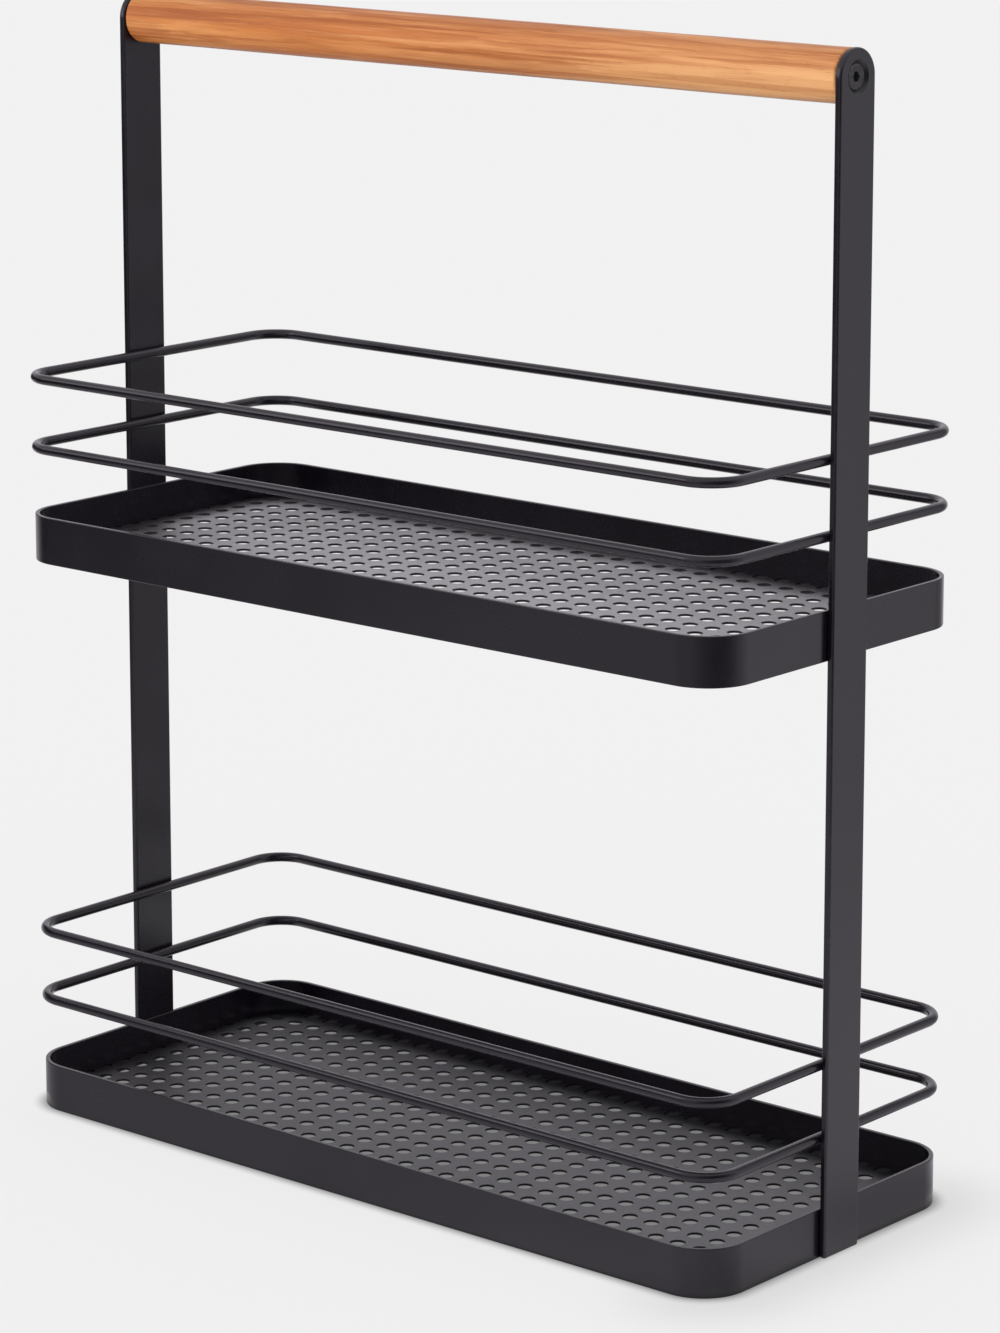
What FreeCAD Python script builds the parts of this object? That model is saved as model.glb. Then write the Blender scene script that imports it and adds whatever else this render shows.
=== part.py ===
import FreeCAD, Part
import Sketcher
import math
import os

V = FreeCAD.Vector

# ---------------------------------------------------------------------------
# Two-tier rack. Frame: +X along the trays, -Y towards the viewer, +Z up.
# Origin: centre of the footprint, on the table. All sizes in millimetres.
# ---------------------------------------------------------------------------
doc = FreeCAD.newDocument("spice_rack")

SIZES = [
    # trays
    ("tray_length", 300.0),        # between the inner faces of the two uprights
    ("tray_depth", 128.0),         # front to back over the bands
    ("tray_corner_radius", 16.0),  # outside of the band, in plan
    ("band_thickness", 1.5),
    ("band_height", 16.0),
    ("band_edge_radius", 0.3),
    ("upper_tray_height", 192.4),  # underside of the upper band
    # perforated sheets
    ("floor_lift", 3.2),          # underside of the sheet above the band's lower edge
    ("floor_thickness", 0.8),
    ("floor_corner_slack", 0.3),
    ("hole_diameter", 5.0),
    ("hole_pitch", 8.8),
    ("hole_columns", 33.0),        # whole holes along the length
    ("hole_rows", 13.0),           # whole holes across the depth
    ("edge_columns", 31.0),        # holes cut by the front and back edges
    ("edge_rows", 11.0),           # holes cut by the end edges
    # wire guards
    ("wire_diameter", 3.4),
    ("guard_depth", 127.4),
    ("guard_corner_radius", 12.0), # wire centre line
    ("guard_low", 38.7),           # wire centre above its tray's lower edge
    ("guard_high", 62.6),
    # uprights
    ("bar_width", 17.8),
    ("bar_thickness", 2.4),
    ("bar_edge_radius", 0.8),
    ("screw_hole_diameter", 6.0),
    ("sink_diameter", 10.5),
    # handle
    ("handle_height", 371.6),      # handle axis above the table
    ("dowel_diameter", 17.5),
    ("dowel_end_gap", 0.3),
    ("dowel_edge_radius", 0.9),
    ("dowel_bore_diameter", 8.06),
    ("dowel_bore_depth", 15.5),
    ("insert_diameter", 8.0),
    ("insert_bore_diameter", 5.0),
    ("insert_length", 13.0),
    ("insert_setback", 0.5),       # sleeve's outer end below the dowel's end
    # screws
    ("shank_diameter", 4.9),
    ("head_diameter", 8.4),
    ("head_top_diameter", 7.9),
    ("head_edge_height", 0.25),
    ("head_depth", 0.75),          # top of the head below the bar's outer face
    ("screw_length", 15.0),
    ("socket_width", 3.0),         # across the flats
    ("socket_depth", 1.7),
]

dims = doc.addObject("Spreadsheet::Sheet", "dims")
S = {}
for row, (name, value) in enumerate(SIZES, start=1):
    dims.set("A%d" % row, name)
    dims.set("B%d" % row, repr(value))
    dims.setAlias("B%d" % row, name)
    S[name] = value
doc.recompute()


def new_body(label):
    body = doc.addObject("PartDesign::Body", label)
    body.Label = label
    return body


def origin_plane(body, role):
    for feature in body.Origin.OriginFeatures:
        if feature.Role == role:
            return feature
    raise RuntimeError("no plane " + role)


def new_sketch(body, name, role, height=None):
    """A sketch on one of the body's own origin planes, lifted by an expression."""
    sk = body.newObject("Sketcher::SketchObject", name)
    sk.AttachmentSupport = [(origin_plane(body, role), "")]
    sk.MapMode = "FlatFace"
    if height:
        sk.setExpression(".AttachmentOffset.Base.z", height)
    return sk


def bind(sk, index, expression):
    sk.setExpression("Constraints[%d]" % index, expression)


def rounded_rectangle(sk, length, width, radius, e_length, e_width, e_radius):
    """Four lines and four tangent arcs about the sketch origin, driven by three sizes."""
    hx, hy, r = length / 2.0, width / 2.0, radius
    seg, arc = Part.LineSegment, Part.ArcOfCircle
    up = V(0, 0, 1)

    def corner(cx, cy, start):
        return arc(Part.Circle(V(cx, cy, 0), up, r), start, start + math.pi / 2)

    first = sk.GeometryCount
    sk.addGeometry([
        seg(V(-hx + r, -hy, 0), V(hx - r, -hy, 0)),
        corner(hx - r, -hy + r, -math.pi / 2),
        seg(V(hx, -hy + r, 0), V(hx, hy - r, 0)),
        corner(hx - r, hy - r, 0),
        seg(V(hx - r, hy, 0), V(-hx + r, hy, 0)),
        corner(-hx + r, hy - r, math.pi / 2),
        seg(V(-hx, hy - r, 0), V(-hx, -hy + r, 0)),
        corner(-hx + r, -hy + r, math.pi),
    ], False)
    g = [first + i for i in range(8)]
    c = Sketcher.Constraint
    cons = [c("Tangent", g[i], 2, g[(i + 1) % 8], 1) for i in range(8)]
    cons += [c("Horizontal", g[0]), c("Horizontal", g[4]), c("Vertical", g[2]), c("Vertical", g[6])]
    cons += [c("Equal", g[1], g[3]), c("Equal", g[1], g[5]), c("Equal", g[1], g[7])]
    cons += [c("Symmetric", g[1], 3, g[5], 3, -1, 1)]
    sk.addConstraint(cons)
    i = sk.addConstraint(c("Radius", g[1], r))
    bind(sk, i, e_radius)
    i = sk.addConstraint(c("DistanceX", g[6], 1, g[2], 1, length))
    bind(sk, i, e_length)
    i = sk.addConstraint(c("DistanceY", g[0], 1, g[4], 2, width))
    bind(sk, i, e_width)
    return g


def circle(sk, x, y, r, e_x, e_y, e_r):
    """A circle whose centre is driven from the sketch origin; a zero offset puts it on the axis."""
    g = sk.addGeometry(Part.Circle(V(x, y, 0), V(0, 0, 1), r), False)
    c = Sketcher.Constraint
    if e_x is None and e_y is None:
        sk.addConstraint(c("Coincident", g, 3, -1, 1))
    else:
        if e_x is None:
            sk.addConstraint(c("PointOnObject", g, 3, -2))
        else:
            i = sk.addConstraint(c("DistanceX", -1, 1, g, 3, x))
            bind(sk, i, e_x)
        if e_y is None:
            sk.addConstraint(c("PointOnObject", g, 3, -1))
        else:
            i = sk.addConstraint(c("DistanceY", -1, 1, g, 3, y))
            bind(sk, i, e_y)
    i = sk.addConstraint(c("Radius", g, r))
    bind(sk, i, e_r)
    return g


def pad(body, name, sk, e_length):
    f = body.newObject("PartDesign::Pad", name)
    f.Profile = sk
    f.setExpression("Length", e_length)
    body.Tip = f
    doc.recompute()
    return f


def pocket_through(body, name, sk, reverse=False):
    before = body.Shape.Volume
    f = body.newObject("PartDesign::Pocket", name)
    f.Profile = sk
    f.Type = "ThroughAll"
    f.Reversed = reverse
    body.Tip = f
    doc.recompute()
    if not f.Shape.Volume < before - 1e-3:
        raise RuntimeError(name + " removes nothing")
    return f


def edges_where(feature, test):
    return ["Edge%d" % (i + 1) for i, e in enumerate(feature.Shape.Edges) if test(e)]


def fillet(body, name, base, edges, e_radius):
    f = body.newObject("PartDesign::Fillet", name)
    f.Base = (base, edges)
    f.setExpression("Radius", e_radius)
    body.Tip = f
    doc.recompute()
    return f


def pattern(body, name, seed, sketch, axes):
    """Repeats one feature along the sketch's own axes; axes is [(axis, length, count)]."""
    before = body.Shape.Volume
    f = body.newObject("PartDesign::LinearPattern", name)
    f.Originals = [seed]
    f.Refine = False
    f.Direction = (sketch, [axes[0][0]])
    f.setExpression("Length", axes[0][1])
    f.setExpression("Occurrences", axes[0][2])
    if len(axes) > 1:
        f.Direction2 = (sketch, [axes[1][0]])
        f.setExpression("Length2", axes[1][1])
        f.setExpression("Occurrences2", axes[1][2])
    body.Tip = f
    doc.recompute()
    if not f.Shape.Volume < before - 1e-3:
        raise RuntimeError(name + " repeats nothing")
    return f


# ---------------------------------------------------------------------------
# Uprights: flat bars with a half-round top, a screw hole and its countersink.
# Drawn with the inner face on x = 0 and the outer face on x = bar_thickness.
# ---------------------------------------------------------------------------
def make_upright(label):
    body = new_body(label)
    w, h = S["bar_width"] / 2, S["handle_height"]
    sk = new_sketch(body, label + "_outline", "YZ_Plane")
    sk.addGeometry([
        Part.LineSegment(V(-w, 0, 0), V(w, 0, 0)),
        Part.LineSegment(V(w, 0, 0), V(w, h, 0)),
        Part.ArcOfCircle(Part.Circle(V(0, h, 0), V(0, 0, 1), w), 0, math.pi),
        Part.LineSegment(V(-w, h, 0), V(-w, 0, 0)),
    ], False)
    c = Sketcher.Constraint
    sk.addConstraint([
        c("Coincident", 0, 2, 1, 1), c("Tangent", 1, 2, 2, 1), c("Tangent", 2, 2, 3, 1),
        c("Coincident", 3, 2, 0, 1), c("Horizontal", 0), c("Vertical", 1), c("Vertical", 3),
        c("PointOnObject", 2, 3, -2), c("PointOnObject", 0, 1, -1),
    ])
    i = sk.addConstraint(c("Radius", 2, w))
    bind(sk, i, "dims.bar_width / 2")
    i = sk.addConstraint(c("DistanceY", -1, 1, 2, 3, h))
    bind(sk, i, "dims.handle_height")
    bar = pad(body, label + "_bar", sk, "dims.bar_thickness")

    sk = new_sketch(body, label + "_screw_hole", "YZ_Plane")
    circle(sk, 0, h, S["screw_hole_diameter"] / 2, None, "dims.handle_height", "dims.screw_hole_diameter / 2")
    hole = pocket_through(body, label + "_hole", sk, reverse=True)

    # countersink on the outer face
    t = S["bar_thickness"]
    rim = edges_where(hole, lambda e: isinstance(e.Curve, Part.Circle)
                      and abs(e.Curve.Radius - S["screw_hole_diameter"] / 2) < 1e-4
                      and abs(e.BoundBox.XMin - t) < 1e-4 and abs(e.BoundBox.XMax - t) < 1e-4)
    sink = body.newObject("PartDesign::Chamfer", label + "_countersink")
    sink.Base = (hole, rim)
    sink.setExpression("Size", "(dims.sink_diameter - dims.screw_hole_diameter) / 2")
    body.Tip = sink
    doc.recompute()
    if not sink.Shape.Volume < hole.Shape.Volume - 1:
        raise RuntimeError("countersink removes nothing")

    # the long edges are eased, as on a coated bar; the screw hole's edges stay sharp
    def outline(e):
        b = e.BoundBox
        flat = b.XMax - b.XMin < 1e-4 and (abs(b.XMin) < 1e-4 or abs(b.XMin - t) < 1e-4)
        return flat and not (isinstance(e.Curve, Part.Circle) and e.Curve.Radius < w - 1)
    fillet(body, label + "_eased", sink, edges_where(sink, outline), "dims.bar_edge_radius")
    return body


right_upright = make_upright("right_upright")
left_upright = make_upright("left_upright")


# ---------------------------------------------------------------------------
# Tray bands: one strip bent round a rounded rectangle, standing on edge.
# ---------------------------------------------------------------------------
def make_band(label):
    body = new_body(label)
    L, D, R, t = S["tray_length"], S["tray_depth"], S["tray_corner_radius"], S["band_thickness"]
    sk = new_sketch(body, label + "_outline", "XY_Plane")
    rounded_rectangle(sk, L, D, R, "dims.tray_length", "dims.tray_depth", "dims.tray_corner_radius")
    rounded_rectangle(sk, L - 2 * t, D - 2 * t, R - t,
                      "dims.tray_length - 2 * dims.band_thickness",
                      "dims.tray_depth - 2 * dims.band_thickness",
                      "dims.tray_corner_radius - dims.band_thickness")
    strip = pad(body, label + "_strip", sk, "dims.band_height")
    h = S["band_height"]

    def rims(e):
        b = e.BoundBox
        return b.ZMax - b.ZMin < 1e-4 and (abs(b.ZMin) < 1e-4 or abs(b.ZMin - h) < 1e-4)
    fillet(body, label + "_eased", strip, edges_where(strip, rims), "dims.band_edge_radius")
    return body


lower_tray_rim = make_band("lower_tray_rim")
upper_tray_rim = make_band("upper_tray_rim")


# ---------------------------------------------------------------------------
# Tray floors: sheet cut from square-pitch perforated stock, so the outermost
# holes on each side are cut through by its edge.
# ---------------------------------------------------------------------------
def make_floor(label):
    body = new_body(label)
    t, p = S["band_thickness"], S["hole_pitch"]
    L, D = S["tray_length"] - 2 * t, S["tray_depth"] - 2 * t
    R = S["tray_corner_radius"] - t + S["floor_corner_slack"]
    sk = new_sketch(body, label + "_outline", "XY_Plane", "dims.floor_lift")
    rounded_rectangle(sk, L, D, R,
                      "dims.tray_length - 2 * dims.band_thickness",
                      "dims.tray_depth - 2 * dims.band_thickness",
                      "dims.tray_corner_radius - dims.band_thickness + dims.floor_corner_slack")
    pad(body, label + "_sheet", sk, "dims.floor_thickness")
    r = S["hole_diameter"] / 2
    top = "dims.floor_lift + dims.floor_thickness"
    nx, ny = S["hole_columns"], S["hole_rows"]
    mx, my = S["edge_columns"], S["edge_rows"]

    def seed(name, kx, ky, e_kx, e_ky):
        sk = new_sketch(body, label + "_" + name, "XY_Plane", top)
        # the seed sits at the low corner, so its offsets are taken towards the origin
        g = sk.addGeometry(Part.Circle(V(-kx * p, -ky * p, 0), V(0, 0, 1), r), False)
        c = Sketcher.Constraint
        i = sk.addConstraint(c("DistanceX", g, 3, -1, 1, kx * p))
        bind(sk, i, e_kx)
        i = sk.addConstraint(c("DistanceY", g, 3, -1, 1, ky * p))
        bind(sk, i, e_ky)
        i = sk.addConstraint(c("Radius", g, r))
        bind(sk, i, "dims.hole_diameter / 2")
        return sk, pocket_through(body, label + "_" + name + "_cut", sk)

    col = "(dims.hole_columns - 1) / 2 * dims.hole_pitch"
    rows = "(dims.hole_rows - 1) / 2 * dims.hole_pitch"
    ecol = "(dims.edge_columns - 1) / 2 * dims.hole_pitch"
    erow = "(dims.edge_rows - 1) / 2 * dims.hole_pitch"

    sk, cut = seed("holes", (nx - 1) / 2, (ny - 1) / 2, col, rows)
    pattern(body, label + "_hole_field", cut, sk, [
        ("H_Axis", "(dims.hole_columns - 1) * dims.hole_pitch", "dims.hole_columns"),
        ("V_Axis", "(dims.hole_rows - 1) * dims.hole_pitch", "dims.hole_rows")])
    # holes cut by the front and back edges
    sk, cut = seed("long_edge", (mx - 1) / 2, (ny + 1) / 2, ecol, "(dims.hole_rows + 1) / 2 * dims.hole_pitch")
    pattern(body, label + "_long_edges", cut, sk, [
        ("H_Axis", "(dims.edge_columns - 1) * dims.hole_pitch", "dims.edge_columns"),
        ("V_Axis", "(dims.hole_rows + 1) * dims.hole_pitch", "2")])
    # holes cut by the two ends
    sk, cut = seed("short_edge", (nx + 1) / 2, (my - 1) / 2, "(dims.hole_columns + 1) / 2 * dims.hole_pitch", erow)
    pattern(body, label + "_short_edges", cut, sk, [
        ("V_Axis", "(dims.edge_rows - 1) * dims.hole_pitch", "dims.edge_rows"),
        ("H_Axis", "(dims.hole_columns + 1) * dims.hole_pitch", "2")])
    return body


lower_tray_floor = make_floor("lower_tray_floor")
upper_tray_floor = make_floor("upper_tray_floor")


# ---------------------------------------------------------------------------
# Wire guards: round wire bent to a closed rounded rectangle. The end wires
# lie against the uprights' inner faces.
# ---------------------------------------------------------------------------
def make_guard(label, e_height):
    body = new_body(label)
    d, R = S["wire_diameter"], S["guard_corner_radius"]
    L, D = S["tray_length"] - d, S["guard_depth"] - d
    path = new_sketch(body, label + "_path", "XY_Plane", e_height)
    rounded_rectangle(path, L, D, R, "dims.tray_length - dims.wire_diameter",
                      "dims.guard_depth - dims.wire_diameter", "dims.guard_corner_radius")
    # the section stands where the front wire starts, just after the front left bend
    section = new_sketch(body, label + "_section", "YZ_Plane", "-(dims.tray_length - dims.wire_diameter) / 2 + dims.guard_corner_radius")
    g = section.addGeometry(Part.Circle(V(-D / 2, S["guard_low"], 0), V(0, 0, 1), d / 2), False)
    c = Sketcher.Constraint
    i = section.addConstraint(c("DistanceX", g, 3, -1, 1, D / 2))
    bind(section, i, "(dims.guard_depth - dims.wire_diameter) / 2")
    i = section.addConstraint(c("DistanceY", -1, 1, g, 3, S["guard_low"]))
    bind(section, i, e_height)
    i = section.addConstraint(c("Radius", g, d / 2))
    bind(section, i, "dims.wire_diameter / 2")
    doc.recompute()
    wire = body.newObject("PartDesign::AdditivePipe", label + "_wire")
    wire.Profile = section
    wire.Spine = path
    wire.Mode = "Standard"
    wire.Transition = "Transformed"
    body.Tip = wire
    doc.recompute()
    length = 2 * (L - 2 * R) + 2 * (D - 2 * R) + 2 * math.pi * R
    want = math.pi * (d / 2) ** 2 * length
    if abs(wire.Shape.Volume - want) > 0.002 * want:
        raise RuntimeError("%s: volume %.1f, expected %.1f" % (label, wire.Shape.Volume, want))
    return body


lower_guard_bottom = make_guard("lower_guard_bottom", "dims.guard_low")
lower_guard_top = make_guard("lower_guard_top", "dims.guard_high")
upper_guard_bottom = make_guard("upper_guard_bottom", "dims.guard_low")
upper_guard_top = make_guard("upper_guard_top", "dims.guard_high")


# ---------------------------------------------------------------------------
# Handle: round dowel with a bore at each end for a threaded sleeve.
# Drawn along its own X axis, centred on the origin.
# ---------------------------------------------------------------------------
def make_dowel(label):
    body = new_body(label)
    half = S["tray_length"] / 2 - S["dowel_end_gap"]
    e_half = "dims.tray_length / 2 - dims.dowel_end_gap"
    sk = new_sketch(body, label + "_section", "YZ_Plane", "-(%s)" % e_half)
    circle(sk, 0, 0, S["dowel_diameter"] / 2, None, None, "dims.dowel_diameter / 2")
    rod = pad(body, label + "_rod", sk, "2 * (%s)" % e_half)
    rims = edges_where(rod, lambda e: isinstance(e.Curve, Part.Circle))
    eased = fillet(body, label + "_eased", rod, rims, "dims.dowel_edge_radius")
    for side, lift, reverse in (("right", e_half, False), ("left", "-(%s)" % e_half, True)):
        before = body.Shape.Volume
        sk = new_sketch(body, label + "_%s_bore" % side, "YZ_Plane", lift)
        circle(sk, 0, 0, S["dowel_bore_diameter"] / 2, None, None, "dims.dowel_bore_diameter / 2")
        f = body.newObject("PartDesign::Pocket", label + "_%s_bore_cut" % side)
        f.Profile = sk
        f.Type = "Length"
        f.setExpression("Length", "dims.dowel_bore_depth")
        f.Reversed = reverse
        body.Tip = f
        doc.recompute()
        want = math.pi * (S["dowel_bore_diameter"] / 2) ** 2 * S["dowel_bore_depth"]
        if abs(before - f.Shape.Volume - want) > 1:
            raise RuntimeError("%s bore removed %.1f, expected %.1f" % (side, before - f.Shape.Volume, want))
    return body


handle_dowel = make_dowel("handle_dowel")


# ---------------------------------------------------------------------------
# Threaded sleeves in the dowel's ends. Drawn along X, outer end on x = 0,
# running inwards; the bore is at the thread's nominal diameter.
# ---------------------------------------------------------------------------
def make_insert(label):
    body = new_body(label)
    sk = new_sketch(body, label + "_section", "YZ_Plane", "-dims.insert_length")
    circle(sk, 0, 0, S["insert_diameter"] / 2, None, None, "dims.insert_diameter / 2")
    circle(sk, 0, 0, S["insert_bore_diameter"] / 2, None, None, "dims.insert_bore_diameter / 2")
    pad(body, label + "_sleeve", sk, "dims.insert_length")
    return body


left_threaded_insert = make_insert("left_threaded_insert")
right_threaded_insert = make_insert("right_threaded_insert")


# ---------------------------------------------------------------------------
# Countersunk screws with a hex socket. A half section is turned about X;
# the top of the head is on x = 0 and the shank runs towards -X.
# ---------------------------------------------------------------------------
def make_screw(label):
    body = new_body(label)
    rs, rh, rt = S["shank_diameter"] / 2, S["head_diameter"] / 2, S["head_top_diameter"] / 2
    e, n = S["head_edge_height"], S["screw_length"]
    pts = [V(0, 0, 0), V(0, rt, 0), V(-e, rh, 0), V(-e - (rh - rs), rs, 0),
           V(-n + 0.6, rs, 0), V(-n, rs - 0.6, 0), V(-n, 0, 0)]
    sk = new_sketch(body, label + "_half_section", "XY_Plane")
    sk.addGeometry([Part.LineSegment(pts[i], pts[(i + 1) % 7]) for i in range(7)], False)
    c = Sketcher.Constraint
    sk.addConstraint([c("Coincident", i, 2, (i + 1) % 7, 1) for i in range(7)])
    sk.addConstraint([c("Coincident", 0, 1, -1, 1), c("Vertical", 0), c("Horizontal", 3),
                      c("Vertical", 5), c("Horizontal", 6)])

    def size(kind, *args):
        expression = args[-1]
        i = sk.addConstraint(c(kind, *args[:-1]))
        bind(sk, i, expression)
    size("DistanceY", 0, 1, 0, 2, rt, "dims.head_top_diameter / 2")
    size("DistanceX", 1, 2, 1, 1, e, "dims.head_edge_height")
    size("DistanceY", -1, 1, 1, 2, rh, "dims.head_diameter / 2")
    size("DistanceX", 2, 2, 2, 1, rh - rs, "(dims.head_diameter - dims.shank_diameter) / 2")
    size("DistanceY", -1, 1, 2, 2, rs, "dims.shank_diameter / 2")
    size("DistanceX", 6, 1, -1, 1, n, "dims.screw_length")
    size("DistanceX", 4, 2, 4, 1, 0.6, "0.6")
    size("DistanceY", 4, 2, 4, 1, 0.6, "0.6")
    f = body.newObject("PartDesign::Revolution", label + "_turned")
    f.Profile = sk
    f.ReferenceAxis = (sk, ["H_Axis"])
    f.Angle = 360
    body.Tip = f
    doc.recompute()
    if f.Shape.Volume < math.pi * rs ** 2 * (n - 2):
        raise RuntimeError("screw blank is too small")

    # hex socket
    af = S["socket_width"]
    ri = af / math.sqrt(3)
    sk = new_sketch(body, label + "_socket", "YZ_Plane")
    hexa = [V(ri * math.cos(math.radians(60 * k)), ri * math.sin(math.radians(60 * k)), 0) for k in range(6)]
    sk.addGeometry([Part.LineSegment(hexa[k], hexa[(k + 1) % 6]) for k in range(6)], False)
    g = sk.addGeometry(Part.Circle(V(0, 0, 0), V(0, 0, 1), ri), True)
    cons = [c("Coincident", k, 2, (k + 1) % 6, 1) for k in range(6)]
    cons += [c("Coincident", g, 3, -1, 1)]
    cons += [c("PointOnObject", k, 1, g) for k in range(6)]
    cons += [c("Equal", 0, k) for k in range(1, 5)]
    cons += [c("PointOnObject", 0, 1, -1)]
    sk.addConstraint(cons)
    i = sk.addConstraint(c("Radius", g, ri))
    bind(sk, i, "dims.socket_width / sqrt(3)")
    before = body.Shape.Volume
    f = body.newObject("PartDesign::Pocket", label + "_socket_cut")
    f.Profile = sk
    f.Type = "Length"
    f.setExpression("Length", "dims.socket_depth")
    body.Tip = f
    doc.recompute()
    want = math.sqrt(3) / 2 * af ** 2 * S["socket_depth"]
    if abs(before - f.Shape.Volume - want) > 0.5:
        raise RuntimeError("socket removed %.2f, expected %.2f" % (before - f.Shape.Volume, want))
    return body


left_handle_screw = make_screw("left_handle_screw")
right_handle_screw = make_screw("right_handle_screw")


# ---------------------------------------------------------------------------
# Placements, driven by the same sizes. The left-hand pieces are the same
# parts turned half a turn about Z.
# ---------------------------------------------------------------------------
half_turn = FreeCAD.Rotation(V(0, 0, 1), 180)
plain = FreeCAD.Rotation()


def place(body, rotation, e_x=None, e_z=None):
    body.Placement = FreeCAD.Placement(V(0, 0, 0), rotation)
    if e_x:
        body.setExpression(".Placement.Base.x", e_x)
    if e_z:
        body.setExpression(".Placement.Base.z", e_z)


place(right_upright, plain, "dims.tray_length / 2")
place(left_upright, half_turn, "-dims.tray_length / 2")
place(lower_tray_rim, plain)
place(lower_tray_floor, plain)
place(lower_guard_bottom, plain)
place(lower_guard_top, plain)
place(upper_tray_rim, plain, None, "dims.upper_tray_height")
place(upper_tray_floor, plain, None, "dims.upper_tray_height")
place(upper_guard_bottom, plain, None, "dims.upper_tray_height")
place(upper_guard_top, plain, None, "dims.upper_tray_height")
place(handle_dowel, plain, None, "dims.handle_height")
insert_x = "dims.tray_length / 2 - dims.dowel_end_gap - dims.insert_setback"
place(right_threaded_insert, plain, insert_x, "dims.handle_height")
place(left_threaded_insert, half_turn, "-(%s)" % insert_x, "dims.handle_height")
screw_x = "dims.tray_length / 2 + dims.bar_thickness - dims.head_depth"
place(right_handle_screw, plain, screw_x, "dims.handle_height")
place(left_handle_screw, half_turn, "-(%s)" % screw_x, "dims.handle_height")

doc.recompute()

# ---------------------------------------------------------------------------
# Everything is tested before anything is written.
# ---------------------------------------------------------------------------
NODES = [
    left_upright, right_upright,
    lower_tray_rim, lower_tray_floor, lower_guard_bottom, lower_guard_top,
    upper_tray_rim, upper_tray_floor, upper_guard_bottom, upper_guard_top,
    handle_dowel, left_threaded_insert, right_threaded_insert,
    left_handle_screw, right_handle_screw,
]

for obj in doc.Objects:
    if "Invalid" in obj.State or "Error" in obj.State:
        raise RuntimeError("%s is %s" % (obj.Label, obj.State))
for node in NODES:
    shape = node.Shape
    if shape.isNull() or not shape.isValid():
        raise RuntimeError(node.Label + " has no valid shape")
    if len(shape.Solids) != 1:
        raise RuntimeError("%s has %d solids" % (node.Label, len(shape.Solids)))

os.makedirs("parts", exist_ok=True)
for node in NODES:
    node.Shape.exportStep("parts/%s.step" % node.Label)
    b = node.Shape.BoundBox
    print("%-24s %9.1f mm3  x %8.2f %8.2f  y %8.2f %8.2f  z %8.2f %8.2f" % (
        node.Label, node.Shape.Volume, b.XMin, b.XMax, b.YMin, b.YMax, b.ZMin, b.ZMax))
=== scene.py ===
import math

import bpy
from mathutils import Matrix, Vector, geometry


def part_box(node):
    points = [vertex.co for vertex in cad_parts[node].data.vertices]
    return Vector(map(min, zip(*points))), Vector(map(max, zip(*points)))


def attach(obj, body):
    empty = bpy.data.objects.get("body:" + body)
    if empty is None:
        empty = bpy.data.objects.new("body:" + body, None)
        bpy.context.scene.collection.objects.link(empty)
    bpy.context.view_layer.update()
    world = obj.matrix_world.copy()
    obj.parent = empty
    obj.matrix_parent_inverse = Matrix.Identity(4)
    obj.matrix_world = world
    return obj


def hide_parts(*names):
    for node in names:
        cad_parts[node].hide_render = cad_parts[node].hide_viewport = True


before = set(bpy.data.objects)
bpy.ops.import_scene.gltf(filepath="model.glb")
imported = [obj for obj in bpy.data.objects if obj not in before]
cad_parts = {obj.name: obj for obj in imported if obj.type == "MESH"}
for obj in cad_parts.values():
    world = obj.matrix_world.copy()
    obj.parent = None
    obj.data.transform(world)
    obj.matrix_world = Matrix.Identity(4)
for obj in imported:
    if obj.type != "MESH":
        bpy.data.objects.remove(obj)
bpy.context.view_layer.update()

# ---------------------------------------------------------------------------
# Two-tier rack. Everything is in metres, in the frame of the CAD model:
# +X along the trays, -Y towards the viewer, +Z up, origin on the table.
# Sizes are written in millimetres and scaled by MM.
# ---------------------------------------------------------------------------
MM = 0.001
scene = bpy.context.scene


# ---------------------------------------------------------------------------
# Mesh helpers
# ---------------------------------------------------------------------------
class Shell:
    """Collects points with their exact normals and an edge mark, which below zero paints shade into a recess, then
    becomes one mesh object.
    """

    def __init__(self):
        self.co, self.no, self.mark, self.faces = [], [], [], []

    def add(self, co, no, mark=0.0):
        self.co.append(co)
        self.no.append(no)
        self.mark.append(mark)
        return len(self.co) - 1

    def quad_rows(self, rows, closed_along=False, closed_across=False):
        """rows[i][j] are indices; the faces run along i, then across j."""
        n, m = len(rows), len(rows[0])
        for i in range(n if closed_along else n - 1):
            a, b = rows[i], rows[(i + 1) % n]
            for j in range(m if closed_across else m - 1):
                k = (j + 1) % m
                self.faces.append((a[j], b[j], b[k], a[k]))

    def mirrored(self, axis):
        s = Shell()
        flip = [1.0, 1.0, 1.0]
        flip[axis] = -1.0
        s.co = [tuple(c * f for c, f in zip(p, flip)) for p in self.co]
        s.no = [tuple(c * f for c, f in zip(p, flip)) for p in self.no]
        s.mark = list(self.mark)
        s.faces = [tuple(reversed(f)) for f in self.faces]
        return s

    def make(self, name, node, body, slot, material):
        me = bpy.data.meshes.new(name)
        me.from_pydata([(x * MM, y * MM, z * MM) for x, y, z in self.co], [], self.faces)
        me.shade_smooth()
        me.normals_split_custom_set_from_vertices([Vector(n).normalized() for n in self.no])
        a = me.attributes.new("edge", "FLOAT", "POINT")
        a.data.foreach_set("value", self.mark)
        me.materials.append(material)
        ob = bpy.data.objects.new(name, me)
        scene.collection.objects.link(ob)
        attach(ob, body)
        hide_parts(node)
        return ob


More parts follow.
